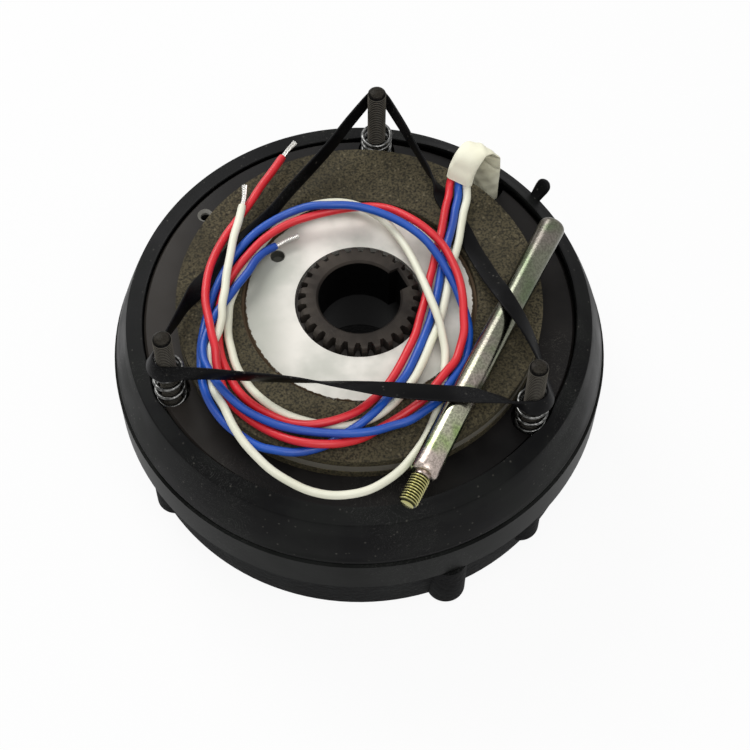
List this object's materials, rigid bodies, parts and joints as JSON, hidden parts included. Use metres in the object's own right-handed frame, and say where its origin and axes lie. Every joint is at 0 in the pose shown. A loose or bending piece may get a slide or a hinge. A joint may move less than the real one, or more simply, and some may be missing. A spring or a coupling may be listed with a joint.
{
  "type": "electromagnetic brake",
  "caption": "Spring-applied motor brake with a splined friction disc and hub, mounting studs, rubber collar, coiled leads in a band and a loose hand lever.",
  "frame": {"origin": "on the shaft axis in the plane of the magnet's back face, which the brake lies on", "axes": "+Z along the shaft axis, from the magnet to the friction disc and the motor; the cable outlet is between +X and +Y"},
  "size_m": [0.215, 0.215, 0.1193],
  "materials": {
    "black_cast": "black paint over a rough casting, with a machined rim",
    "bobbin": "moulded, out of sight",
    "copper": "enamelled copper wire, out of sight",
    "resin": "potting resin, out of sight",
    "spring_steel": "bright drawn wire",
    "plate_steel": "dark turned steel with an oily skin",
    "aluminium": "satin cast and turned face",
    "lining": "pressed friction lining with dark and pale specks",
    "hub_steel": "dark phosphated steel",
    "stud_steel": "black rolled thread with a worn end",
    "nut_steel": "grey phosphated",
    "rubber": "moulded black rubber, slightly scuffed",
    "band_rubber": "flat black rubber",
    "zinc": "zinc plated with a yellow-green passivation",
    "sleeve": "off-white insulating sleeve, creased",
    "lead_red": "red insulation",
    "lead_blue": "blue insulation",
    "lead_white": "cream white insulation",
    "tinned": "tinned copper strands"
  },
  "bodies": {
    "magnet": {"magnet_body": "black_cast", "coil_bobbin": "bobbin", "coil_winding": "copper", "coil_potting": "resin", "brake_springs": "spring_steel", "stud_a": "stud_steel", "stud_b": "stud_steel", "stud_c": "stud_steel", "nut_a": "nut_steel", "nut_b": "nut_steel", "nut_c": "nut_steel", "washer_a": "nut_steel", "washer_b": "nut_steel", "washer_c": "nut_steel", "rubber_collar": "rubber", "rubber_band": "band_rubber", "hand_lever": "zinc", "cable_grommet": "rubber", "cable_sleeve": "sleeve", "lead_red": "lead_red", "lead_blue": "lead_blue", "lead_white": "lead_white", "strands_red": "tinned", "strands_blue": "tinned", "strands_white": "tinned"},
    "armature": {"pressure_plate": "plate_steel", "counter_spring_a": "spring_steel", "counter_spring_b": "spring_steel", "counter_spring_c": "spring_steel"},
    "hub": {"hub": "hub_steel"},
    "disc": {"disc_carrier": "aluminium", "lining_top": "lining", "lining_bottom": "lining"}
  },
  "joints": [
    {"name": "armature_slide", "type": "slide", "parent": "magnet", "child": "armature", "axis": [0, 0, 1], "range_m": [-0.001, 0], "stiffness_N_per_m": 40000, "springref_m": 0.003, "deforming": ["brake_springs"]},
    {"name": "hub_spin", "type": "hinge", "parent": "magnet", "child": "hub", "pos_m": [0, 0, 0.0779], "axis": [0, 0, 1], "continuous": true},
    {"name": "disc_float", "type": "slide", "parent": "hub", "child": "disc", "axis": [0, 0, 1], "range_m": [-0.001, 0]}
  ],
  "couplings": [
    {"joint": "disc_float", "follows": "armature_slide", "ratio": 1}
  ]
}
